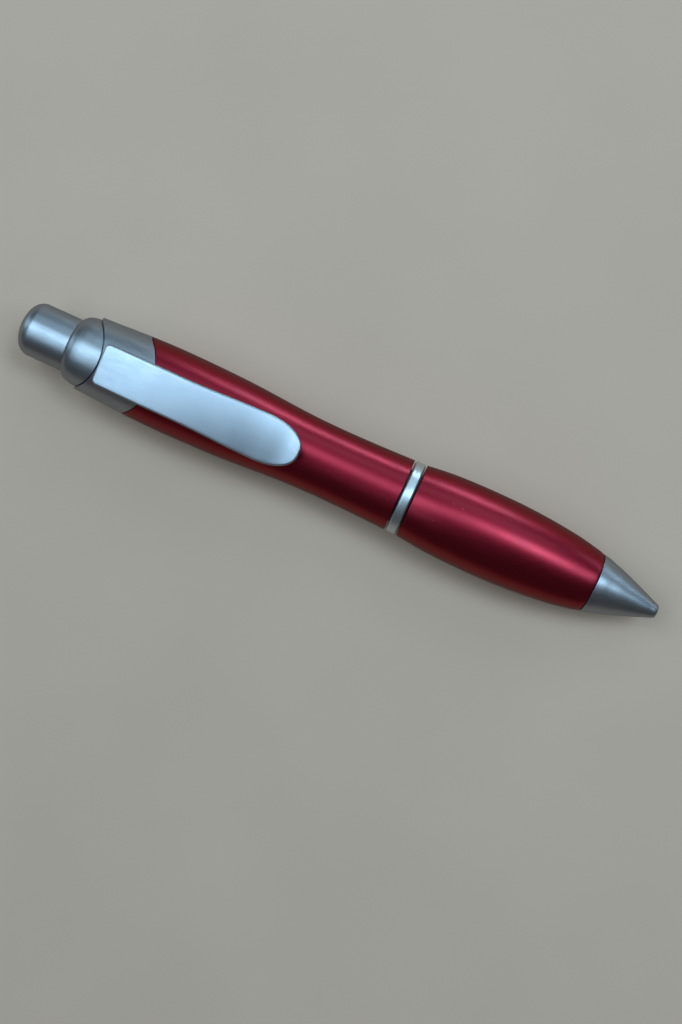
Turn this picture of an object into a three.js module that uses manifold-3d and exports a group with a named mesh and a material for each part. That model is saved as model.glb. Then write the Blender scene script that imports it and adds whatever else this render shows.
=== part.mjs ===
// A wide-bodied retractable pen, clip upwards, lying along X with its point towards +X.
// Millimetres, +Z up. Every piece is drawn about the pen's own axis, and its places along
// the pen are distances from the push button's end face, so the group at the end only has
// to set the pen down on its belly with its middle over the origin.
import * as THREE from 'three';
import { mergeVertices } from 'three/addons/utils/BufferGeometryUtils.js';
import Module from 'manifold-3d';

const wasm = await Module();
wasm.setup();

// Driving dimensions
const LENGTH = 150;            // button end face to nose end
const BELLY_R = 9.25;          // both barrels' widest radius, so the pen lies level
const SIDES = 40;              // flats round an outside surface, one of them facing down
const SMALL_SIDES = 24;        // flats round an inside piece
const GAP = 0.3;               // clearance between neighbouring pieces
const STROKE = 6;              // travel of the push button, and of the refill with it

const COLLAR_START = 11.8;     // where the button disappears into the collar
const BUTTON_R = 6.08;
const BUTTON_BORE_R = 4.9;
const FLANGE_R = 6.5;          // flange that keeps the button in the collar
const COLLAR_BORE_R = FLANGE_R + GAP;
const COLLAR_END = 20.9;
const SLEEVE_BORE_R = 7.5;     // bore of the shoulder sleeve
const NECK_R = SLEEVE_BORE_R - GAP;

const COLLAR_ARC = { centre: 10.78, radius: 9.17 };  // collar's end, an arc seen from above
const GROOVE = 0.42;                                 // groove between collar and shoulder
const BARREL_ARC = { centre: 22.1, radius: 10.35 };  // shoulder's other end
const SEAM = 0.12;                                   // joint line between shoulder and barrel

const RING_START = 89.85;      // centre ring
const RING_WIDTH = 2.4;
const RING_R = 8.27;
const RING_SEAM = 0.28;
const UPPER_END = RING_START - RING_SEAM;
const LOWER_START = RING_START + RING_WIDTH + RING_SEAM;
const WAIST_BORE_R = 6.4;      // straight bore of the upper barrel
const THREAD_R = 5.6;          // root of the male thread that joins the barrels
const THREAD_CREST = 0.22;
const THREAD_PITCH = 1.3;
const THREAD_END = 101;
const INSERT_R = 6.7;

const NOSE_START = 134.85;
const SPRING_SEAT = 141;       // shoulder inside the nose that the spring stands on
const POINT_BORE_R = 1.25;
const REFILL_START = 49.1;
const REFILL_SHOULDER = 128;   // where the refill steps down and the spring pushes on it
const REFILL_R = 2.95;
const REFILL_NECK_R = 1.65;
const NECK_END = SPRING_SEAT - STROKE - 0.5;   // clear of the spring's seat after a full stroke
const POINT_END = 147.2;       // writing ball's end when the point is withdrawn
const BALL_R = 0.4;

const GUIDE_START = COLLAR_END + 0.4;
const FIT = 0.15;              // clearance of a piece pressed or screwed into another
const ROTOR_START = 38.4;
const STEM_R = 3.15;           // plunger and rotor
const GUIDE_BORE_R = 3.9;
const SPLINE_R = 3.65;
const RIB_COUNT = 4;
const TEETH = 8;
const TOOTH_HEIGHT = 1.1;

const CLIP_START = 20.7;
const CLIP_END = 67;
const CLIP_THICKNESS = 1.5;
const CLIP_HALF_WIDTH = 4.55;
const SPOON_START = 57.5;      // where the clip is widest, before its rounded end
const SPOON_HALF_WIDTH = 5.2;
const SPOON_POWER = 2.3;       // 2 would make the rounded end an ellipse
const FOOT = { start: 22.4, end: 26.8, width: 4.6 };   // clip's foot in the sleeve's window

// Solids

function toManifold(geometry) {
  const bare = geometry.clone();
  bare.deleteAttribute('normal');
  bare.deleteAttribute('uv');
  const merged = mergeVertices(bare, 1e-4);
  const mesh = new wasm.Mesh({
    numProp: 3,
    vertProperties: new Float32Array(merged.attributes.position.array),
    triVerts: new Uint32Array(merged.index.array),
  });
  return new wasm.Manifold(mesh);
}

function toGeometry(manifold) {
  const mesh = manifold.getMesh();
  const geometry = new THREE.BufferGeometry();
  geometry.setAttribute('position', new THREE.BufferAttribute(mesh.vertProperties, 3));
  geometry.setIndex(new THREE.BufferAttribute(mesh.triVerts, 1));
  geometry.computeVertexNormals();
  return geometry;
}

// A profile of [place along the pen, radius] points, turned about the pen's axis with
// a flat facing straight up and another straight down.
function turned(profile, sides = SIDES) {
  const points = profile.map(([x, r]) => new THREE.Vector2(r, x));
  const geometry = new THREE.LatheGeometry(points, sides, Math.PI / sides);
  return geometry.rotateZ(-Math.PI / 2);
}

// A turned tube: the outside runs away from the button, and the bore comes back.
function tube(outside, bore, sides = SIDES) {
  return turned([...outside, ...bore.slice().reverse(), outside[0]], sides);
}

// A smooth outline through a few [place, radius] points.
function smooth(points, steps) {
  const curve = new THREE.SplineCurve(points.map(([x, r]) => new THREE.Vector2(x, r)));
  return curve.getPoints(steps).map((p) => [p.x, p.y]);
}

function cylinderAlongPen(start, end, radius, sides = SIDES) {
  return toManifold(turned([[start, 0], [start, radius], [end, radius], [end, 0]], sides));
}

function block(start, end, width, low, high) {
  const geometry = new THREE.BoxGeometry(end - start, width, high - low);
  geometry.translate((start + end) / 2, 0, (low + high) / 2);
  return toManifold(geometry);
}

// Everything on the button's side of an upright cylinder, which cuts an arc in plan view.
function buttonSideOf(arc, offset) {
  const reach = 2 * BELLY_R;
  const drum = new THREE.CylinderGeometry(arc.radius + offset, arc.radius + offset, reach + 4, 64);
  drum.rotateX(Math.PI / 2).translate(arc.centre, 0, 0);
  return toManifold(drum).add(block(0, arc.centre, reach + 4, -reach / 2 - 2, reach / 2 + 2));
}

// Equal wedges standing round the axis between two radii, like the splines of a shaft.
function splines(count, firstDegrees, widthDegrees, inner, outer, start, end) {
  let all = null;
  for (let i = 0; i < count; i += 1) {
    const middle = THREE.MathUtils.degToRad(firstDegrees + (360 / count) * i);
    const half = THREE.MathUtils.degToRad(widthDegrees / 2);
    const shape = new THREE.Shape();
    shape.absarc(0, 0, outer, middle - half, middle + half, false);
    shape.absarc(0, 0, inner, middle + half, middle - half, true);
    shape.closePath();
    const wedge = new THREE.ExtrudeGeometry(shape, {
      depth: end - start, bevelEnabled: false, curveSegments: 3,
    });
    wedge.rotateY(Math.PI / 2).translate(start, 0, 0);
    const solid = toManifold(wedge);
    all = all ? all.add(solid) : solid;
  }
  return all;
}

// V notches across one end of a stem, which leave a crown of teeth between them.
function toothNotches(face, depth, inner, outer) {
  const pitch = 360 / TEETH;
  let all = null;
  for (let i = 0; i < TEETH; i += 1) {
    const shape = new THREE.Shape();
    shape.moveTo(0, -outer * Math.tan(THREE.MathUtils.degToRad(pitch / 2)) * 0.9);
    shape.lineTo(depth, 0);
    shape.lineTo(0, outer * Math.tan(THREE.MathUtils.degToRad(pitch / 2)) * 0.9);
    shape.closePath();
    const notch = new THREE.ExtrudeGeometry(shape, { depth: outer, bevelEnabled: false });
    notch.translate(face, 0, inner * 0.5);
    notch.rotateX(THREE.MathUtils.degToRad(pitch * i));
    const solid = toManifold(notch);
    all = all ? all.add(solid) : solid;
  }
  return all;
}

// Pointed crests standing on a thread's root, from one place to another.
function threadProfile(start, end, root, crest) {
  const profile = [];
  for (let x = start; x < end - THREAD_PITCH / 2; x += THREAD_PITCH) {
    profile.push([x, root], [x + THREAD_PITCH / 2, root + crest]);
  }
  return [...profile, [end, root]];
}

// Outside of the shoulder sleeve and the upper barrel, which share one flowing outline.
function upperOutline() {
  return smooth([
    [14.5, 8.37], [19, 8.6], [23.5, 8.87], [28, 9.1], [32, 9.22], [36, BELLY_R], [40.5, 9.21],
    [45, 9.12], [49.6, 8.98], [54, 8.74], [58.5, 8.43], [63, 8.12], [67.5, 7.92], [72, 7.84],
    [76.5, 7.86], [81, 7.93], [85.4, 8.06], [UPPER_END, 8.2],
  ], 20);
}

// Click action

function pushButton() {
  const edge = { along: 3.2, inward: 3.8 };
  const rounded = [];
  for (let i = 0; i <= 5; i += 1) {
    const turn = (Math.PI / 2) * (i / 5);
    rounded.push([
      edge.along * (1 - Math.sin(turn)), BUTTON_R - edge.inward * (1 - Math.cos(turn)),
    ]);
  }
  rounded.reverse();
  const flangeStart = COLLAR_START + 1.5;
  return turned([
    [0, 0], ...rounded, [flangeStart, BUTTON_R], [flangeStart, FLANGE_R],
    [flangeStart + 0.9, FLANGE_R], [flangeStart + 0.9, BUTTON_BORE_R],
    [1.7, BUTTON_BORE_R], [1.7, 0],
  ]);
}

function camPlunger() {
  const plugR = BUTTON_BORE_R - FIT;
  const end = ROTOR_START - 0.2;
  const body = toManifold(turned([
    [2.0, 0], [2.0, plugR], [12, plugR], [13, STEM_R], [end, STEM_R],
    [end, 1.6], [16, 1.6], [16, 0],
  ], SMALL_SIDES));
  const keys = splines(RIB_COUNT, 45, 15, STEM_R - 0.4, SPLINE_R, 31, 36.5);
  const teeth = toothNotches(0, TOOTH_HEIGHT, 1.6, STEM_R);
  const facing = teeth.scale([-1, 1, 1]).translate([end, 0, 0]);
  return toGeometry(body.add(keys).subtract(facing));
}

function thrustRotor() {
  const end = REFILL_START - GAP;
  const body = toManifold(turned([
    [ROTOR_START, 1.6], [ROTOR_START, STEM_R], [46, STEM_R], [46.6, 2.85], [end, 2.85],
    [end, 0.9], [43, 0.9], [42.3, 1.6], [ROTOR_START, 1.6],
  ], SMALL_SIDES));
  const keys = splines(RIB_COUNT, 22.5, 15, STEM_R - 0.4, SPLINE_R, 39.8, 44);
  const teeth = toothNotches(ROTOR_START, TOOTH_HEIGHT, 1.6, STEM_R);
  return toGeometry(body.add(keys).subtract(teeth));
}

function camSleeve() {
  const shell = toManifold(tube(
    [[GUIDE_START, 6.95], [GUIDE_START + 1, 6.95], [GUIDE_START + 1, 6.1], [56.6, 6.1], [57.4, 5.6]],
    [[GUIDE_START, GUIDE_BORE_R], [51, GUIDE_BORE_R], [51.4, 3.35], [57.4, 3.35]],
    SMALL_SIDES,
  ));
  const ribs = splines(RIB_COUNT, 0, 20, STEM_R + 0.28, GUIDE_BORE_R + 0.5, 30, 42.5);
  return toGeometry(shell.add(ribs));
}

// Collar, shoulder and barrels

function collar() {
  const dome = smooth([
    [COLLAR_START, 6.45], [12.4, 7.1], [13.2, 7.5], [14.4, 7.76], [16.5, 7.92], [21, 8.0],
  ], 8);
  const solid = toManifold(tube(
    dome,
    [
      [COLLAR_START, BUTTON_R + 0.18], [COLLAR_START + 1.2, BUTTON_R + 0.18],
      [COLLAR_START + 1.2, COLLAR_BORE_R], [21, COLLAR_BORE_R],
    ],
  ));
  const domed = solid.intersect(buttonSideOf(COLLAR_ARC, 0));
  const skirt = toManifold(tube(
    [[14.6, NECK_R], [COLLAR_END, NECK_R]],
    [[14.6, COLLAR_BORE_R], [COLLAR_END, COLLAR_BORE_R]],
  ));
  return toGeometry(domed.add(skirt));
}

function shoulder() {
  const body = toManifold(turned([[14.5, 0], ...upperOutline(), [UPPER_END, 0]]));
  const bore = cylinderAlongPen(10, 40, SLEEVE_BORE_R);
  const clipWindow = block(FOOT.start - 0.5, FOOT.end + 0.5, FOOT.width + 2 * GAP, 6, 10);
  return toGeometry(
    body
      .intersect(buttonSideOf(BARREL_ARC, -SEAM))
      .subtract(buttonSideOf(COLLAR_ARC, GROOVE))
      .subtract(bore)
      .subtract(clipWindow),
  );
}

function upperBarrel() {
  const body = toManifold(turned([[14.5, 0], ...upperOutline(), [UPPER_END, 0]]));
  const neck = cylinderAlongPen(GUIDE_START + 1 + GAP, 40, NECK_R);
  const bore = cylinderAlongPen(10, 95, WAIST_BORE_R);
  return toGeometry(body.subtract(buttonSideOf(BARREL_ARC, 0)).add(neck).subtract(bore));
}

function centreRing() {
  const bevel = 0.35;
  const end = RING_START + RING_WIDTH;
  return tube(
    [
      [RING_START, RING_R - bevel], [RING_START + bevel, RING_R],
      [end - bevel, RING_R], [end, RING_R - bevel],
    ],
    [[RING_START, 6.4], [end, 6.4]],
  );
}

function threadBush() {
  return tube(
    [
      [78.5, 5.7], [79, 6.1], [92.2, 6.1], [92.2, THREAD_R],
      ...threadProfile(93.2, THREAD_END - 0.4, THREAD_R, THREAD_CREST),
      [THREAD_END, THREAD_R - 0.4],
    ],
    [[78.5, 4.2], [84, 4.2], [84, 3.35], [86, 3.35], [86, 4.2], [THREAD_END, 4.2]],
    SMALL_SIDES,
  );
}

function threadInsert() {
  return tube(
    [[RING_START + RING_WIDTH + 0.5, INSERT_R], [104.4, INSERT_R]],
    [[RING_START + RING_WIDTH + 0.5, 6.15], [103.4, 6.15], [104.4, 5.6]],
    SMALL_SIDES,
  );
}

function lowerBarrel() {
  const end = NOSE_START - 0.1;
  const outline = smooth([
    [LOWER_START, 8.28], [95.1, 8.6], [98.3, 8.92], [101.6, 9.11], [105.5, 9.22], [109.5, BELLY_R],
    [113.5, 9.21], [117.7, 9.03], [121.5, 8.76], [125.3, 8.38], [129, 7.9], [132, 7.33],
    [133.4, 7.03], [134.3, 6.8], [end, 6.62],
  ], 16);
  return tube(outline, [
    [LOWER_START, 7], [105, 7], [108, 7.4], [114, 7.3], [121, 6.6], [127, 5.8], [end, 5.8],
  ]);
}

function noseCone() {
  const outline = smooth([
    [NOSE_START + 0.05, 6.64], [136.3, 6.38], [138, 5.86], [140.2, 5.18], [142.3, 4.42],
    [144.4, 3.64], [146.6, 2.78], [148.4, 2.05],
  ], 9);
  return tube(
    [
      ...threadProfile(127.8, 134.2, 5.3, THREAD_CREST), [134.6, 5.3],
      [NOSE_START + 0.05, 5.3], ...outline, [149.2, 1.78], [149.7, 1.54], [LENGTH, POINT_BORE_R + 0.05],
    ],
    [
      [127.8, 3.5], [135.3, 3.5], [136, 3], [SPRING_SEAT, 3], [SPRING_SEAT, POINT_BORE_R],
      [LENGTH, POINT_BORE_R],
    ],
    36,
  );
}

// Clip: a tongue seen from above, bowed over the barrel, with a foot in the sleeve's window

function clipHalfWidth(x) {
  if (x > SPOON_START) {
    const share = (x - SPOON_START) / (CLIP_END - SPOON_START);
    return SPOON_HALF_WIDTH * Math.max(1 - share ** SPOON_POWER, 0) ** (1 / SPOON_POWER);
  }
  const along = (x - CLIP_START) / (SPOON_START - CLIP_START);
  const widening = THREE.MathUtils.smoothstep(along, 0.45, 1);
  return CLIP_HALF_WIDTH + (SPOON_HALF_WIDTH - CLIP_HALF_WIDTH) * widening;
}

function clipUnderside(x) {
  const curve = new THREE.SplineCurve([
    [CLIP_START, 9.02], [27, 9.38], [33, 9.62], [42, 9.7], [51, 9.5], [59, 9.2], [64, 9.2],
    [CLIP_END, 9.5],
  ].map(([px, pz]) => new THREE.Vector2(px, pz)));
  const along = (x - CLIP_START) / (CLIP_END - CLIP_START);
  return curve.getPointAt(THREE.MathUtils.clamp(along, 0, 1)).y;
}

function clip() {
  const corner = 1.1;
  const outline = new THREE.Shape();
  const half = CLIP_HALF_WIDTH;
  outline.moveTo(CLIP_START, -half + corner);
  outline.absarc(CLIP_START + corner, -half + corner, corner, Math.PI, 1.5 * Math.PI, false);
  const right = [];
  for (let i = 0; i <= 26; i += 1) {
    const eased = Math.sin((Math.PI / 2) * (i / 26));
    right.push(CLIP_START + corner + (CLIP_END - CLIP_START - corner) * eased);
  }
  right.slice(1).forEach((x) => outline.lineTo(x, -clipHalfWidth(x)));
  right.slice(1, -1).reverse().forEach((x) => outline.lineTo(x, clipHalfWidth(x)));
  outline.lineTo(CLIP_START + corner, half);
  outline.absarc(CLIP_START + corner, half - corner, corner, 0.5 * Math.PI, Math.PI, false);
  const blade = new THREE.ExtrudeGeometry(outline, {
    depth: CLIP_THICKNESS - 0.6, bevelThickness: 0.3, bevelSize: 0.3, bevelOffset: -0.3,
    bevelSegments: 1, curveSegments: 4,
  });
  blade.translate(0, 0, 0.3);
  const place = blade.attributes.position;
  for (let i = 0; i < place.count; i += 1) {
    place.setZ(i, place.getZ(i) + clipUnderside(place.getX(i)));
  }
  const foot = block(FOOT.start, FOOT.end, FOOT.width, SLEEVE_BORE_R, 9.8);
  return toGeometry(toManifold(blade).add(foot));
}

// Refill and return spring

function refillTube() {
  return tube(
    [
      [50.2, REFILL_R], [REFILL_SHOULDER - 0.6, REFILL_R], [REFILL_SHOULDER, 2.3],
      [REFILL_SHOULDER, REFILL_NECK_R], [NECK_END, REFILL_NECK_R],
    ],
    [[50.2, 2.35], [126.2, 2.35], [127.2, 1.1], [NECK_END, 1.1]],
    SMALL_SIDES,
  );
}

function refillPlug() {
  const bore = 0.8;
  return tube(
    [[REFILL_START, 2.6], [REFILL_START + 0.4, REFILL_R], [50, REFILL_R], [50, 2.2], [53, 2.2]],
    [[REFILL_START, bore], [53, bore]],
    SMALL_SIDES,
  );
}

function rodAlongPen(start, end, radius) {
  return turned([[start, 0], [start, radius], [end, radius], [end, 0]], 16);
}

// A spigot in the tube's neck, a thin flange against its end, and a cone with the ball's socket.
function refillPoint() {
  const flange = NECK_END + 0.1;
  return turned([
    [NECK_END - 3.2, 0], [NECK_END - 3.2, 0.95], [flange, 0.95], [flange, 1.5],
    [flange + 0.25, 1.5], [flange + 0.25, 1.1], [142.6, 1.1], [POINT_END - 0.45, 0.6],
    [POINT_END - 0.3, 0.5], [POINT_END - 0.3, 0.44], [POINT_END - 0.95, 0.44],
    [POINT_END - 0.95, 0],
  ], 16);
}

function writingBall() {
  const ball = new THREE.SphereGeometry(BALL_R, 12, 8);
  return ball.translate(POINT_END - BALL_R, 0, 0);
}

function returnSpring() {
  const wire = 0.22;
  const radius = 2.25;
  const coils = 8;
  const stepsPerCoil = 12;
  const start = REFILL_SHOULDER + 0.15 + wire;
  const end = SPRING_SEAT - 0.15 - wire;
  class Helix extends THREE.Curve {
    getPoint(t, target = new THREE.Vector3()) {
      const turn = t * coils * 2 * Math.PI;
      return target.set(start + (end - start) * t, radius * Math.cos(turn), radius * Math.sin(turn));
    }
  }
  const section = new THREE.Shape();
  section.absarc(0, 0, wire, 0, 2 * Math.PI, false);
  return new THREE.ExtrudeGeometry(section, {
    steps: coils * stepsPerCoil, extrudePath: new Helix(), curveSegments: 3,
  });
}

// Assembly

const finishes = {
  satinGrey: { color: 0x8b939b, roughness: 0.42, metalness: 0.6 },
  satinSilver: { color: 0xb9c4cd, roughness: 0.35, metalness: 0.6 },
  burgundy: { color: 0x6a0d1c, roughness: 0.38, metalness: 0.35 },
  brightRing: { color: 0xc9cdd0, roughness: 0.25, metalness: 0.9 },
  darkPlastic: { color: 0x26282b, roughness: 0.6, metalness: 0 },
  whitePlastic: { color: 0xe4e4df, roughness: 0.5, metalness: 0 },
  greyPlastic: { color: 0x9a9c9e, roughness: 0.5, metalness: 0 },
  ink: { color: 0x101830, roughness: 0.3, metalness: 0 },
  grease: { color: 0xd9cf9c, roughness: 0.3, metalness: 0 },
  brass: { color: 0xb08d4c, roughness: 0.3, metalness: 0.9 },
  steel: { color: 0xb4b6b8, roughness: 0.25, metalness: 0.95 },
};

const pieces = [
  ['push_button', pushButton(), finishes.satinGrey],
  ['cam_plunger', camPlunger(), finishes.whitePlastic],
  ['thrust_rotor', thrustRotor(), finishes.greyPlastic],
  ['cam_sleeve', camSleeve(), finishes.darkPlastic],
  ['collar', collar(), finishes.satinGrey],
  ['shoulder_sleeve', shoulder(), finishes.satinGrey],
  ['clip', clip(), finishes.satinSilver],
  ['upper_barrel', upperBarrel(), finishes.burgundy],
  ['thread_bush', threadBush(), finishes.darkPlastic],
  ['centre_ring', centreRing(), finishes.brightRing],
  ['thread_insert', threadInsert(), finishes.darkPlastic],
  ['lower_barrel', lowerBarrel(), finishes.burgundy],
  ['nose_cone', noseCone(), finishes.satinGrey],
  ['refill_tube', refillTube(), finishes.whitePlastic],
  ['refill_plug', refillPlug(), finishes.greyPlastic],
  ['grease_follower', rodAlongPen(58, 61, 2.2), finishes.grease],
  ['ink_column', rodAlongPen(61.15, 126, 2.2), finishes.ink],
  ['refill_point', refillPoint(), finishes.brass],
  ['writing_ball', writingBall(), finishes.steel],
  ['return_spring', returnSpring(), finishes.steel],
];

const pen = new THREE.Group();
for (const [name, geometry, finish] of pieces) {
  const mesh = new THREE.Mesh(geometry, new THREE.MeshStandardMaterial(finish));
  mesh.name = name;
  pen.add(mesh);
}
pen.position.set(-LENGTH / 2, 0, BELLY_R * Math.cos(Math.PI / SIDES));

const group = new THREE.Group();
group.add(pen);

export default group;
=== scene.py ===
"""Looks of a wide-bodied click pen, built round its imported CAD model."""
import math

import bmesh
import bpy
import numpy as np
from mathutils import Matrix, Vector


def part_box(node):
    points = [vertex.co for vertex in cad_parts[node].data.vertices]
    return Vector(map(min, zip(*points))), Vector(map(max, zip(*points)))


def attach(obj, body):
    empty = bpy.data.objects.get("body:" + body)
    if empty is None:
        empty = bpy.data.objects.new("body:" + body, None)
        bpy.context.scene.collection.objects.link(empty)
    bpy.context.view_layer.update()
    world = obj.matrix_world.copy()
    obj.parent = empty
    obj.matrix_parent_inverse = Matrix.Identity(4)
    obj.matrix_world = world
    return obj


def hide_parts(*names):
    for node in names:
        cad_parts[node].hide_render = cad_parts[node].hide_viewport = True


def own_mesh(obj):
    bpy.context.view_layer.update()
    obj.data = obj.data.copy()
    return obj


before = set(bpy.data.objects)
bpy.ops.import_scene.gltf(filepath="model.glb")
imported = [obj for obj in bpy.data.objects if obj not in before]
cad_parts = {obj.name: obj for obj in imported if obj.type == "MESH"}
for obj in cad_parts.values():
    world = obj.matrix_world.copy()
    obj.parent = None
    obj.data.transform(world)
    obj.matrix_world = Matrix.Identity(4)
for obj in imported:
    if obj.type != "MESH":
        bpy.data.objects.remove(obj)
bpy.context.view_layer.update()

# ---------------------------------------------------------------- the pen's own frame
# Outlines are in millimetres: the place along the pen from the push button's end face,
# and the radius about the pen's axis. The CAD's round pieces have flats, whose middles
# stand FLAT times the stated radius from the axis, and the fine skins keep to that.
MM = 0.001
belly_low, belly_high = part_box("lower_barrel")
BELLY_R = 9.25
AXIS_Z = (belly_low.z + belly_high.z) / 2
FLAT = (belly_high.z - belly_low.z) / 2 / MM / BELLY_R
START_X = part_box("push_button")[0].x

BUTTON_R = 6.08
BUTTON_EDGE = (3.2, 3.8)       # its rounded end: along the pen, and inward
BUTTON_BORE_R = 4.9
BUTTON_WALL = 1.7              # thickness of its closed end
FLANGE_R = 6.5                 # keeps the button in the collar
FLANGE_WIDTH = 0.9
COLLAR_START = 11.8
COLLAR_END = 20.9
COLLAR_LIP_R = 6.45            # where the dome meets the collar's front face
COLLAR_LIP_WIDTH = 1.2
COLLAR_BORE_R = 6.8
COLLAR_ARC = (10.78, 9.17)     # centre and radius of the arc that ends the collar
BARREL_ARC = (22.1, 10.35)     # and of the one between shoulder and upper barrel
GROOVE = 0.42                  # between collar and shoulder
SEAM = 0.12                    # between shoulder and upper barrel
SLEEVE_BORE_R = 7.5
NECK_R = 7.2
NECK_START = 22.6
WAIST_BORE_R = 6.4
UPPER_END = 89.57
RING_START = 89.85
RING_END = 92.25
RING_R = 8.27
RING_BORE_R = 6.4
RING_BEVEL = 0.36
LOWER_START = 92.53
LOWER_END = 134.75
NOSE_START = 134.9
NOSE_TIP_START = 148.4
NOSE_PLUG = (127.8, 5.3)       # start and radius of the plug inside the lower barrel
REFILL_SHOULDER = 128.0
SPRING_SEAT = 141.0
SPRING_WIRE_R = 0.22
SPRING_R = 2.25
SPRING_COILS = 8
POINT_BORE_R = 1.25
LENGTH = 150.0

CLIP_START = 20.7
CLIP_END = 67.0
CLIP_THICKNESS = 1.5
CLIP_CORNER = 1.1              # corner radius at the foot's end
CLIP_RIM = 0.42                # radius of its long edges
CLIP_CLEARANCE = 0.005         # keeps the fine clip inside the CAD's
CLIP_COLUMNS = 20              # quads across the clip's faces
SPOON_START = 57.5             # where the clip is widest, before its rounded end
SPOON_HALF_WIDTH = 5.2
SPOON_POWER = 2.3              # 2 would make the rounded end an ellipse
FOOT = (22.4, 26.8, 4.6)       # start, end and width of the clip's foot
WINDOW = (21.9, 27.3, 5.2)     # and of the sleeve's window for it
SHARP_ABOVE = 38               # edges sharper than this many degrees aren't smoothed


def spline(points):
    """A smooth curve through (x, value) points, as a function of x."""
    xs, ys = (np.array(c, float) for c in zip(*points))
    slopes = np.gradient(ys, xs)

    def at(x):
        x = np.clip(x, xs[0], xs[-1])
        i = np.clip(np.searchsorted(xs, x) - 1, 0, len(xs) - 2)
        h = xs[i + 1] - xs[i]
        t = (x - xs[i]) / h
        return (
            ys[i] * (1 + 2 * t) * (1 - t) ** 2 + h * slopes[i] * t * (1 - t) ** 2
            + ys[i + 1] * t * t * (3 - 2 * t) + h * slopes[i + 1] * t * t * (t - 1)
        )

    return at


upper_outline = spline([
    (14.5, 8.37), (19, 8.6), (23.5, 8.87), (28, 9.1), (32, 9.22), (36, BELLY_R), (40.5, 9.21),
    (45, 9.12), (49.6, 8.98), (54, 8.74), (58.5, 8.43), (63, 8.12), (67.5, 7.92), (72, 7.84),
    (76.5, 7.86), (81, 7.93), (85.4, 8.06), (UPPER_END, 8.2),
])
lower_outline = spline([
    (LOWER_START, 8.28), (95.1, 8.6), (98.3, 8.92), (101.6, 9.11), (105.5, 9.22),
    (109.5, BELLY_R), (113.5, 9.21), (117.7, 9.03), (121.5, 8.76), (125.3, 8.38), (129, 7.9),
    (132, 7.33), (133.4, 7.03), (134.3, 6.8), (LOWER_END, 6.62),
])
nose_outline = spline([
    (NOSE_START, 6.64), (136.3, 6.38), (138, 5.86), (140.2, 5.18), (142.3, 4.42), (144.4, 3.64),
    (146.6, 2.78), (NOSE_TIP_START, 2.05),
])
collar_outline = spline([
    (COLLAR_START, COLLAR_LIP_R), (12.4, 7.1), (13.2, 7.5), (14.4, 7.76), (16.5, 7.92), (21, 8.0),
])


def along(outline, start, end, steps):
    """Points (place, radius, no fillet) of an outline from start to end."""
    return [(x, float(outline(x)), 0) for x in np.linspace(start, end, steps + 1)]


def arc_edge(arc, outline, angle, offset=0.0):
    """Where an upright cylinder through the pen meets its outside, at an angle from the top."""
    centre, radius = arc
    x = centre
    for _ in range(4):
        across = float(outline(x)) * math.sin(angle)
        x = centre + math.sqrt((radius + offset) ** 2 - across ** 2)
    return x


def filleted(corners, steps=4):
    """A closed section from (x, r, fillet) corners, with round corners where fillet isn't 0."""
    section = []
    count = len(corners)
    for i, (x, r, fillet) in enumerate(corners):
        here = np.array([x, r])
        if not fillet:
            section.append(here)
            continue
        ends = []
        for other in (corners[i - 1], corners[(i + 1) % count]):
            toward = np.array(other[:2]) - here
            distance = np.linalg.norm(toward)
            ends.append(here + toward / distance * min(fillet, distance * 0.48))
        for t in np.linspace(0, 1, steps + 1):
            section.append(ends[0] * (1 - t) ** 2 + here * 2 * t * (1 - t) + ends[1] * t ** 2)
    return section


# ---------------------------------------------------------------- mesh helpers
def object_from(bm, name):
    """An object in the scene from a finished bmesh."""
    mesh = bpy.data.meshes.new(name)
    bm.to_mesh(mesh)
    bm.free()
    made = bpy.data.objects.new(name, mesh)
    bpy.context.scene.collection.objects.link(made)
    return made


def new_piece(name, points, faces):
    """A closed mesh object from points in metres, its faces pointing out."""
    bm = bmesh.new()
    corners = [bm.verts.new(p) for p in points]
    for face in faces:
        bm.faces.new([corners[i] for i in face])
    bmesh.ops.remove_doubles(bm, verts=bm.verts, dist=1e-7)
    bmesh.ops.dissolve_degenerate(bm, edges=bm.edges, dist=1e-8)
    bmesh.ops.recalc_face_normals(bm, faces=bm.faces)
    piece = object_from(bm, name)
    finish_shading(piece.data)
    return piece


def finish_shading(mesh):
    mesh.shade_smooth()
    mesh.set_sharp_from_angle(angle=math.radians(SHARP_ABOVE))


def turned(name, section_at, turns=160):
    """A piece turned about the pen's axis. section_at(angle) gives its closed section there."""
    points, faces, size = [], [], 0
    for k in range(turns):
        angle = 2 * math.pi * k / turns
        section = section_at(angle)
        size = len(section)
        for x, r in section:
            points.append((
                START_X + x * MM,
                r * FLAT * MM * math.sin(angle),
                AXIS_Z + r * FLAT * MM * math.cos(angle),
            ))
    for k in range(turns):
        here, there = k * size, (k + 1) % turns * size
        for i in range(size):
            j = (i + 1) % size
            faces.append((here + i, here + j, there + j, there + i))
    return new_piece(name, points, faces)


def same_all_round(corners):
    section = filleted(corners)
    return lambda angle: section


# ---------------------------------------------------------------- turned pieces
def make_button():
    deep, inward = BUTTON_EDGE
    edge = [
        (deep * (1 - math.sin(t)), BUTTON_R - inward * (1 - math.cos(t)), 0)
        for t in np.linspace(math.pi / 2, 0, 17)
    ]
    flange = COLLAR_START + 1.5
    corners = [
        (0, 0, 0), *edge, (flange, BUTTON_R, 0), (flange, FLANGE_R, 0.1),
        (flange + FLANGE_WIDTH, FLANGE_R, 0.1), (flange + FLANGE_WIDTH, BUTTON_BORE_R, 0.1),
        (BUTTON_WALL, BUTTON_BORE_R, 0.4), (BUTTON_WALL, 0, 0),
    ]
    return turned("push_button_skin", same_all_round(corners))


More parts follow.
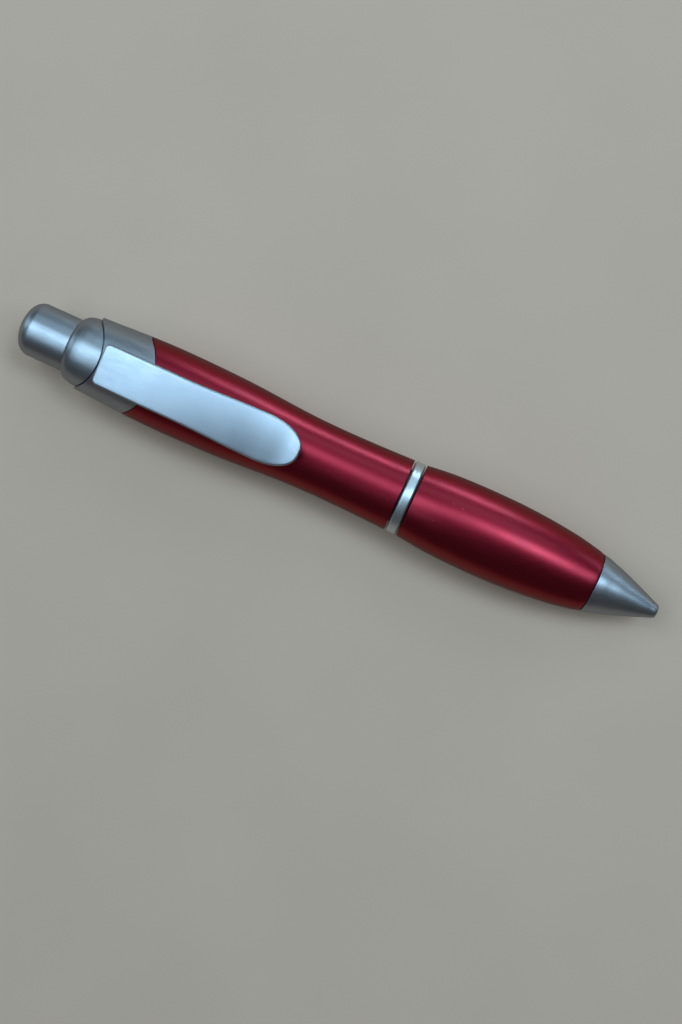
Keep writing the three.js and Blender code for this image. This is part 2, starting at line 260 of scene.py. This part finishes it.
def make_collar():
    lip = BUTTON_R + 0.18
    inner = COLLAR_START + COLLAR_LIP_WIDTH

    def section(angle):
        edge = arc_edge(COLLAR_ARC, collar_outline, angle)
        return filleted([
            (COLLAR_START, COLLAR_LIP_R, 0.06),
            *along(collar_outline, COLLAR_START + 0.1, edge - 0.15, 22),
            (edge, float(collar_outline(edge)), 0.14), (edge, NECK_R, 0),
            (COLLAR_END, NECK_R, 0.05), (COLLAR_END, COLLAR_BORE_R, 0.05),
            (inner, COLLAR_BORE_R, 0), (inner, lip, 0.05), (COLLAR_START, lip, 0.08),
        ])

    return turned("collar_skin", section)


def make_shoulder():
    def section(angle):
        start = arc_edge(COLLAR_ARC, upper_outline, angle, GROOVE)
        end = arc_edge(BARREL_ARC, upper_outline, angle, -SEAM)
        return filleted([
            (start, float(upper_outline(start)), 0.13),
            *along(upper_outline, start + 0.16, end - 0.12, 18),
            (end, float(upper_outline(end)), 0.1), (end, SLEEVE_BORE_R, 0),
            (start, SLEEVE_BORE_R, 0),
        ])

    piece = turned("shoulder_sleeve_skin", section, turns=200)
    window = box_piece("window", *WINDOW, low=6.0, high=10.0)
    return cut(piece, window, "DIFFERENCE")


def make_upper_barrel():
    def section(angle):
        start = arc_edge(BARREL_ARC, upper_outline, angle)
        return filleted([
            (NECK_START, WAIST_BORE_R, 0.1), (NECK_START, NECK_R, 0.1), (start, NECK_R, 0),
            (start, float(upper_outline(start)), 0.1),
            *along(upper_outline, start + 0.12, UPPER_END - 0.2, 70),
            (UPPER_END, float(upper_outline(UPPER_END)), 0.18), (UPPER_END, WAIST_BORE_R, 0.1),
        ])

    return turned("upper_barrel_skin", section, turns=200)


def make_ring():
    shoulder = RING_R - RING_BEVEL
    corners = [
        (RING_START, RING_BORE_R, 0), (RING_START, shoulder, 0.06),
        (RING_START + RING_BEVEL, RING_R, 0.08), (RING_END - RING_BEVEL, RING_R, 0.08),
        (RING_END, shoulder, 0.06), (RING_END, RING_BORE_R, 0),
    ]
    return turned("centre_ring_skin", same_all_round(corners), turns=200)


def make_lower_barrel():
    corners = [
        (LOWER_START, 7.0, 0.1), (LOWER_START, float(lower_outline(LOWER_START)), 0.18),
        *along(lower_outline, LOWER_START + 0.2, LOWER_END - 0.25, 60),
        (LOWER_END, float(lower_outline(LOWER_END)), 0.2), (LOWER_END, 5.8, 0),
        (127, 5.8, 0), (121, 6.6, 0), (114, 7.3, 0), (108, 7.4, 0), (105, 7.0, 0),
    ]
    return turned("lower_barrel_skin", same_all_round(corners), turns=200)


def make_nose():
    plug_start, plug_r = NOSE_PLUG
    corners = [
        (plug_start, 3.5, 0.1), (plug_start, plug_r, 0.1), (NOSE_START, plug_r, 0),
        (NOSE_START, float(nose_outline(NOSE_START)), 0.12),
        *along(nose_outline, NOSE_START + 0.15, NOSE_TIP_START, 34),
        (149.2, 1.78, 0.25), (149.7, 1.54, 0.25), (LENGTH, POINT_BORE_R + 0.06, 0.02),
        (LENGTH, POINT_BORE_R, 0.02), (SPRING_SEAT, POINT_BORE_R, 0), (SPRING_SEAT, 3.0, 0.1),
        (136.0, 3.0, 0), (135.3, 3.5, 0),
    ]
    return turned("nose_cone_skin", same_all_round(corners))


def make_point():
    corners = [
        (131.3, 0, 0), (131.3, 0.95, 0.1), (134.6, 0.95, 0), (134.6, 1.5, 0.08),
        (134.85, 1.5, 0.08), (134.85, 1.1, 0), (142.6, 1.1, 0.2), (146.75, 0.6, 0.08),
        (146.9, 0.5, 0.02), (146.9, 0.44, 0), (146.25, 0.44, 0), (146.25, 0, 0),
    ]
    return turned("refill_point_skin", same_all_round(corners), turns=96)


def make_spring():
    """A round-wire compression spring between the refill's shoulder and the spring's seat."""
    steps, sides = 40, 12
    start = REFILL_SHOULDER + 0.15 + SPRING_WIRE_R
    end = SPRING_SEAT - 0.15 - SPRING_WIRE_R
    count = SPRING_COILS * steps
    share = np.linspace(0, 1, count + 1)
    angle = share * SPRING_COILS * 2 * math.pi
    outward = np.stack([0 * angle, np.cos(angle), np.sin(angle)], 1)
    middle = SPRING_R * outward
    middle[:, 0] = start + (end - start) * share
    heading = np.gradient(middle, axis=0)
    heading /= np.linalg.norm(heading, axis=1)[:, None]
    sideways = np.cross(heading, outward)
    points, faces = [], []
    for centre, o, across in zip(middle, outward, sideways):
        for t in np.arange(sides) / sides * 2 * math.pi:
            x, y, z = centre + SPRING_WIRE_R * (o * math.cos(t) + across * math.sin(t))
            points.append((START_X + x * MM, y * MM, AXIS_Z + z * MM))
    for k in range(count):
        for i in range(sides):
            j = (i + 1) % sides
            here, there = k * sides, (k + 1) * sides
            faces.append((here + i, here + j, there + j, there + i))
    faces.append(tuple(range(sides)))
    faces.append(tuple(count * sides + i for i in range(sides)))
    return new_piece("return_spring_skin", points, faces)


# ---------------------------------------------------------------- the clip
clip_half_width = spline([
    (CLIP_START, 4.55), (26, 4.6), (31, 4.63), (36.2, 4.62), (41.5, 4.64), (46.8, 4.8), (52, 5.02),
    (SPOON_START, 5.18),
])
clip_underside = spline([
    (CLIP_START, 9.02), (27, 9.38), (33, 9.62), (42, 9.7), (51, 9.5), (59, 9.2), (64, 9.2),
    (CLIP_END, 9.5),
])
clip_crown = spline([(CLIP_START, 0.12), (35, 0.2), (50, 0.34), (60, 0.42), (CLIP_END, 0.3)])


def clip_side():
    """One side of the clip's plan, from its foot's end round the corner to the spoon's tip."""
    steps_corner, steps_side, steps_spoon = 7, 64, 24
    start_width = float(clip_half_width(CLIP_START))
    side = []
    for t in np.linspace(math.pi / 2, 0, steps_corner):
        side.append((
            CLIP_START + CLIP_CORNER * (1 - math.sin(t)),
            start_width - CLIP_CORNER * (1 - math.cos(t)),
        ))
    for x in np.linspace(CLIP_START + CLIP_CORNER, SPOON_START, steps_side)[1:]:
        side.append((x, float(clip_half_width(x))))
    widest = side[-1][1]
    for t in np.linspace(0, math.pi / 2, steps_spoon)[1:]:
        share = math.sin(t)
        side.append((
            SPOON_START + (CLIP_END - SPOON_START) * share,
            widest * max(1 - share ** SPOON_POWER, 0) ** (1 / SPOON_POWER),
        ))
    return side


def clip_rim():
    """(inset, height) points round the clip's edge, from its upper face to its underside."""
    half = CLIP_THICKNESS / 2
    upper = [
        (CLIP_RIM * (1 - math.sin(t)), half - CLIP_RIM * (1 - math.cos(t)))
        for t in np.linspace(0, math.pi / 2, 6)
    ]
    return upper + [(inset, -height) for inset, height in reversed(upper)]


def fill_clip_face(points, faces, base, count, pairs):
    """Fills the loop that starts at base with rows of quads from one long side to the other."""
    height = points[base][2]
    rows = [[base + j for j in range(CLIP_COLUMNS + 1)]]
    for i in range(pairs):
        near = base + count - 1 - i
        far = base + CLIP_COLUMNS + 1 + i
        a, b = points[near], points[far]
        row = [near]
        for j in range(1, CLIP_COLUMNS):
            share = j / CLIP_COLUMNS
            points.append((a[0] + (b[0] - a[0]) * share, a[1] + (b[1] - a[1]) * share, height))
            row.append(len(points) - 1)
        rows.append(row + [far])
    for a, b in zip(rows, rows[1:]):
        for j in range(CLIP_COLUMNS):
            faces.append((a[j], a[j + 1], b[j + 1], b[j]))
    tip = base + CLIP_COLUMNS + 1 + pairs
    for j in range(CLIP_COLUMNS):
        faces.append((rows[-1][j], rows[-1][j + 1], tip))


def bent_to_pen(x, y, z):
    """A point of the flat clip, lifted onto its curve along the pen and crowned across it."""
    crown = float(clip_crown(x)) * (y / SPOON_HALF_WIDTH) ** 2
    middle = float(clip_underside(x)) + CLIP_THICKNESS / 2 - CLIP_CLEARANCE
    return START_X + x * MM, y * MM, AXIS_Z + (middle + z - crown) * MM


def make_clip():
    side = clip_side()
    long_side = side[1:-1]
    foot_end = [
        (CLIP_START, side[0][1] * (2 * j / CLIP_COLUMNS - 1)) for j in range(CLIP_COLUMNS + 1)
    ]
    plan = np.array(foot_end + side[1:] + [(x, -y) for x, y in reversed(long_side)])
    tangent = np.roll(plan, -1, 0) - np.roll(plan, 1, 0)
    normal = np.stack([-tangent[:, 1], tangent[:, 0]], 1)
    normal /= np.linalg.norm(normal, axis=1)[:, None]
    rim = clip_rim()
    count = len(plan)
    points = [(x, y, height) for inset, height in rim for x, y in plan - normal * inset]
    faces = []
    for k in range(len(rim) - 1):
        here, there = k * count, (k + 1) * count
        for i in range(count):
            j = (i + 1) % count
            faces.append((here + i, here + j, there + j, there + i))
    for loop in (0, len(rim) - 1):
        fill_clip_face(points, faces, loop * count, count, len(long_side))
    piece = new_piece("clip_skin", [bent_to_pen(*p) for p in points], faces)
    foot = box_piece("foot", *FOOT, low=NECK_R + 0.3, high=9.8)
    return cut(piece, foot, "UNION")


def box_piece(name, start, end, width, low, high):
    """A plain box for cutting and joining, in millimetres. cut() removes it after its use."""
    bm = bmesh.new()
    bmesh.ops.create_cube(bm, size=1)
    for v in bm.verts:
        v.co = Vector((
            START_X + (start if v.co.x < 0 else end) * MM,
            (-width if v.co.y < 0 else width) / 2 * MM,
            AXIS_Z + (low if v.co.z < 0 else high) * MM,
        ))
    return object_from(bm, name)


def cut(piece, tool, operation):
    """Cuts tool out of piece (DIFFERENCE) or joins it on (UNION), and removes tool."""
    modifier = piece.modifiers.new("cut", "BOOLEAN")
    modifier.operation = operation
    modifier.solver = "EXACT"
    modifier.object = tool
    bpy.context.view_layer.update()
    evaluated = piece.evaluated_get(bpy.context.evaluated_depsgraph_get())
    mesh = bpy.data.meshes.new_from_object(evaluated)
    mesh.name = piece.name
    piece.modifiers.clear()
    piece.data = mesh
    finish_shading(mesh)
    bpy.data.objects.remove(tool)
    return piece


# ---------------------------------------------------------------- materials
class Nodes:
    """A small writer of shader nodes. Places are in millimetres on the piece."""

    def __init__(self, name):
        self.material = bpy.data.materials.new(name)
        self.material.use_nodes = True
        self.tree = self.material.node_tree
        self.shader = self.tree.nodes["Principled BSDF"]
        coordinates = self.add("ShaderNodeTexCoord")
        scale = self.add("ShaderNodeMapping")
        scale.inputs["Scale"].default_value = (1000, 1000, 1000)
        self.link(coordinates.outputs["Object"], scale.inputs["Vector"])
        self.place = scale.outputs["Vector"]

    def add(self, kind):
        return self.tree.nodes.new(kind)

    def link(self, output, socket):
        self.tree.links.new(output, socket)

    def stretched(self, scale):
        node = self.add("ShaderNodeMapping")
        node.inputs["Scale"].default_value = scale
        self.link(self.place, node.inputs["Vector"])
        return node.outputs["Vector"]

    def noise(self, scale, detail=2.0, roughness=0.5, place=None):
        node = self.add("ShaderNodeTexNoise")
        node.inputs["Scale"].default_value = scale
        node.inputs["Detail"].default_value = detail
        node.inputs["Roughness"].default_value = roughness
        self.link(place or self.place, node.inputs["Vector"])
        return node.outputs["Fac"]

    def specks(self, scale, size):
        """1 in small round specks scattered over the surface, and 0 between them."""
        node = self.add("ShaderNodeTexVoronoi")
        node.inputs["Scale"].default_value = scale
        self.link(self.place, node.inputs["Vector"])
        return self.span(node.outputs["Distance"], size, size * 0.6, 0, 1)

    def span(self, value, low, high, to_low, to_high):
        """value, taken from the span low to high onto the span to_low to to_high."""
        node = self.add("ShaderNodeMapRange")
        node.inputs["From Min"].default_value = low
        node.inputs["From Max"].default_value = high
        node.inputs["To Min"].default_value = to_low
        node.inputs["To Max"].default_value = to_high
        self.link(value, node.inputs["Value"])
        return node.outputs["Result"]

    def blend(self, share, first, second):
        """A colour between two, each a colour or a socket."""
        node = self.add("ShaderNodeMix")
        node.data_type = "RGBA"
        sockets = [s for s in node.inputs if s.type == "RGBA"]
        for socket, value in zip(sockets, (first, second)):
            if isinstance(value, bpy.types.NodeSocket):
                self.link(value, socket)
            else:
                socket.default_value = (*value, 1)
        self.link(share, node.inputs["Factor"])
        return next(s for s in node.outputs if s.type == "RGBA")

    def maths(self, operation, first, second):
        node = self.add("ShaderNodeMath")
        node.operation = operation
        for socket, value in zip(node.inputs, (first, second)):
            if isinstance(value, bpy.types.NodeSocket):
                self.link(value, socket)
            else:
                socket.default_value = value
        return node.outputs["Value"]

    def bump(self, height, distance_mm):
        node = self.add("ShaderNodeBump")
        node.inputs["Distance"].default_value = distance_mm * MM
        node.inputs["Strength"].default_value = 1.0
        self.link(height, node.inputs["Height"])
        self.link(node.outputs["Normal"], self.shader.inputs["Normal"])

    def colour(self, socket):
        self.link(socket, self.shader.inputs["Base Color"])

    def roughness(self, socket):
        self.link(socket, self.shader.inputs["Roughness"])

    def set(self, **values):
        for name, value in values.items():
            self.shader.inputs[name.replace("_", " ")].default_value = value


def shade(colour, factor):
    return tuple(c * factor for c in colour)


def paint(name, colour, rim, rough, coat, speck):
    """Metallic paint over moulded plastic: fine flake, faint cloudiness, dust and rubs."""
    m = Nodes(name)
    m.set(Metallic=1.0, Coat_Weight=coat, Coat_Roughness=0.3, Specular_Tint=(*rim, 1))
    flake = m.noise(9.0, 2.0, 0.7)
    cloud = m.noise(0.16, 3.0)
    base = m.blend(m.span(flake, 0.3, 0.7, 0, 1), shade(colour, 0.9), shade(colour, 1.1))
    base = m.blend(m.span(cloud, 0.35, 0.7, 0, 0.5), base, shade(colour, 0.86))
    dust = m.maths("MULTIPLY", m.specks(0.55, 0.055), m.span(cloud, 0.45, 0.6, 0, 0.5))
    m.colour(m.blend(dust, base, speck))
    rubs = m.noise(1.2, 4.0, 0.6, m.stretched((0.25, 1.0, 1.0)))
    varied = m.maths("ADD", m.span(rubs, 0.35, 0.75, -0.02, 0.05), m.span(cloud, 0.3, 0.7, 0, 0.03))
    m.roughness(m.maths("ADD", varied, rough))
    m.bump(m.noise(3.5, 3.0, 0.6), 0.006)
    return m.material


def turned_metal(name, colour, rough):
    """Bright metal with the fine lines of turning round the pen's axis."""
    m = Nodes(name)
    m.set(Metallic=1.0)
    lines = m.noise(1.0, 3.0, 0.6, m.stretched((14.0, 0.03, 0.03)))
    m.colour(m.blend(m.span(lines, 0.3, 0.7, 0, 1), shade(colour, 0.93), shade(colour, 1.05)))
    m.roughness(m.span(lines, 0.3, 0.7, rough - 0.02, rough + 0.04))
    m.bump(lines, 0.0015)
    return m.material


def moulded(name, colour, rough):
    """Plain moulded plastic: a faint grain and small changes of tone."""
    m = Nodes(name)
    grain = m.noise(4.0, 3.0, 0.6)
    cloud = m.noise(0.3, 2.0)
    m.colour(m.blend(m.span(cloud, 0.3, 0.7, 0, 1), shade(colour, 0.92), shade(colour, 1.06)))
    m.roughness(m.span(grain, 0.3, 0.7, rough - 0.04, rough + 0.04))
    m.bump(grain, 0.01)
    return m.material


GREY = (0.31, 0.313, 0.33)
# The clip's colour: the satin grey paint made lighter and bluer, a painted highlight for the light
# that the clip's upturned top catches
CLIP_GREY_PAINTED_LIGHTER = (0.37, 0.385, 0.42)
RED = (0.27, 0.004, 0.017)
GREY_RIM = (0.5, 0.5, 0.5)     # how much the flake still reflects at the outline
RED_RIM = (0.25, 0.04, 0.05)

PALE_DUST = (0.6, 0.62, 0.62)
WARM_DUST = (0.5, 0.4, 0.38)
DARK_SPECKS = (0.12, 0.13, 0.14)

satin_grey = paint("satin_grey_paint", GREY, GREY_RIM, rough=0.36, coat=0.3, speck=PALE_DUST)
# The clip's paint: the grey paint on a lighter base colour (painted highlight), with dark specks of
# dust
clip_paint_painted_lighter = paint("clip_grey_paint_painted_lighter", CLIP_GREY_PAINTED_LIGHTER, GREY_RIM, rough=0.38, coat=0.3, speck=DARK_SPECKS)
burgundy = paint("burgundy_paint", RED, RED_RIM, rough=0.34, coat=0.38, speck=WARM_DUST)
bright_ring = turned_metal("bright_ring_metal", (0.5, 0.52, 0.53), 0.36)
brass = turned_metal("brass_metal", (0.66, 0.5, 0.24), 0.25)
steel = turned_metal("steel_metal", (0.6, 0.61, 0.62), 0.22)
dark_plastic = moulded("dark_plastic_moulding", (0.025, 0.025, 0.028), 0.5)
natural_plastic = moulded("natural_plastic_moulding", (0.72, 0.72, 0.68), 0.42)
grey_plastic = moulded("grey_plastic_moulding", (0.2, 0.205, 0.21), 0.45)
ink = moulded("ink_fill", (0.01, 0.013, 0.06), 0.3)
grease = moulded("grease_fill", (0.62, 0.55, 0.28), 0.25)


def dress(piece, material):
    piece.data.materials.clear()
    piece.data.materials.append(material)


def skin(piece, body, material, node):
    """A fine piece that stands for a CAD node."""
    dress(piece, material)
    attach(piece, body)
    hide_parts(node)


skin(make_button(), "button", satin_grey, "push_button")
skin(make_collar(), "body", satin_grey, "collar")
skin(make_shoulder(), "body", satin_grey, "shoulder_sleeve")
skin(make_clip(), "clip", clip_paint_painted_lighter, "clip")
skin(make_upper_barrel(), "body", burgundy, "upper_barrel")
skin(make_ring(), "ring", bright_ring, "centre_ring")
skin(make_lower_barrel(), "front", burgundy, "lower_barrel")
skin(make_nose(), "front", satin_grey, "nose_cone")
skin(make_point(), "cartridge", brass, "refill_point")

spring = make_spring()
skin(spring, "front", steel, "return_spring")
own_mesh(spring)

CAD_LOOKS = {
    "cam_plunger": natural_plastic,
    "thrust_rotor": grey_plastic,
    "cam_sleeve": dark_plastic,
    "thread_bush": dark_plastic,
    "thread_insert": dark_plastic,
    "refill_tube": natural_plastic,
    "refill_plug": grey_plastic,
    "grease_follower": grease,
    "ink_column": ink,
    "writing_ball": steel,
}
for node, material in CAD_LOOKS.items():
    dress(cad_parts[node], material)

# ---------------------------------------------------------------- floor, light and camera
def make_floor():
    bm = bmesh.new()
    bmesh.ops.create_grid(bm, x_segments=1, y_segments=1, size=2.0)
    floor = object_from(bm, "floor")
    m = Nodes("floor_paper")
    tone = m.span(m.noise(0.02, 3.0), 0.3, 0.7, 0, 1)
    m.colour(m.blend(tone, (0.53, 0.35, 0.25), (0.56, 0.37, 0.265)))
    m.set(Roughness=0.9)
    dress(floor, m.material)


def area_light(name, place, target, size, watts, colour):
    data = bpy.data.lights.new(name, "AREA")
    data.shape = "RECTANGLE"
    data.size, data.size_y = size
    data.energy = watts
    data.color = colour
    light = bpy.data.objects.new(name, data)
    bpy.context.scene.collection.objects.link(light)
    light.location = place
    direction = Vector(target) - Vector(place)
    light.rotation_mode = "QUATERNION"
    light.rotation_quaternion = direction.to_track_quat("-Z", "Y")


def overhead(tilt_x, tilt_y):
    """A place one metre from the pen, tilted from straight above by so many degrees."""
    slope = Vector((math.tan(math.radians(tilt_x)), math.tan(math.radians(tilt_y)), 1.0))
    return slope.normalized() + Vector((0, 0, AXIS_Z))


def make_lights():
    world = bpy.data.worlds.new("studio")
    bpy.context.scene.world = world
    world.use_nodes = True
    background = world.node_tree.nodes["Background"]
    background.inputs["Color"].default_value = (0.9, 0.95, 1.0, 1)
    background.inputs["Strength"].default_value = 0.09
    pen = (0.0, 0.0, AXIS_Z)
    sky = (0.5, 0.78, 1.0)
    area_light("skylight_button", overhead(-24, 12), pen, (0.5, 0.5), 4.3, sky)
    area_light("skylight_low_side", overhead(-26, -16), pen, (0.5, 0.35), 1.5, sky)
    area_light("skylight_middle", overhead(-3, 17), pen, (0.22, 0.36), 0.7, sky)
    area_light("skylight_belly", overhead(17, 25), pen, (0.27, 0.27), 3.4, sky)
    area_light("skylight_point", overhead(40, 25), pen, (0.3, 0.45), 2.1, sky)
    area_light("skylight_high_side", overhead(-5, 55), pen, (0.9, 0.35), 1.65, sky)
    area_light("skylight_end", (-0.93, 0.12, 0.32), pen, (0.4, 0.6), 1.5, sky)
    area_light("window", (0.01, 0.99, 0.07), pen, (0.36, 0.12), 2.1, sky)
    area_light("window_point", (0.64, 0.76, 0.16), pen, (0.5, 0.16), 0.85, sky)


def make_camera():
    """Looks down at the pen, which lies across the picture with its point lower."""
    distance = 0.2703
    lean = math.radians(5.5)
    slant = math.radians(24.58)
    along_pen = 0.0134
    aim = Vector((0.0046, -0.0087, AXIS_Z))
    place = Vector((along_pen, distance * math.sin(lean), AXIS_Z + distance * math.cos(lean)))
    back = (place - aim).normalized()
    pen_across = Vector((1, 0, 0))
    pen_across = (pen_across - back * pen_across.dot(back)).normalized()
    pen_up = back.cross(pen_across)
    right = pen_across * math.cos(slant) + pen_up * math.sin(slant)
    up = back.cross(right)
    data = bpy.data.cameras.new("camera")
    data.lens = 43.95
    data.sensor_width = 36
    data.clip_start = 0.01
    camera = bpy.data.objects.new("camera", data)
    bpy.context.scene.collection.objects.link(camera)
    turn = Matrix((right, up, back)).transposed()
    camera.matrix_world = Matrix.Translation(place) @ turn.to_4x4()
    bpy.context.scene.camera = camera


make_floor()
make_lights()
make_camera()
bpy.context.scene.view_settings.view_transform = "Standard"
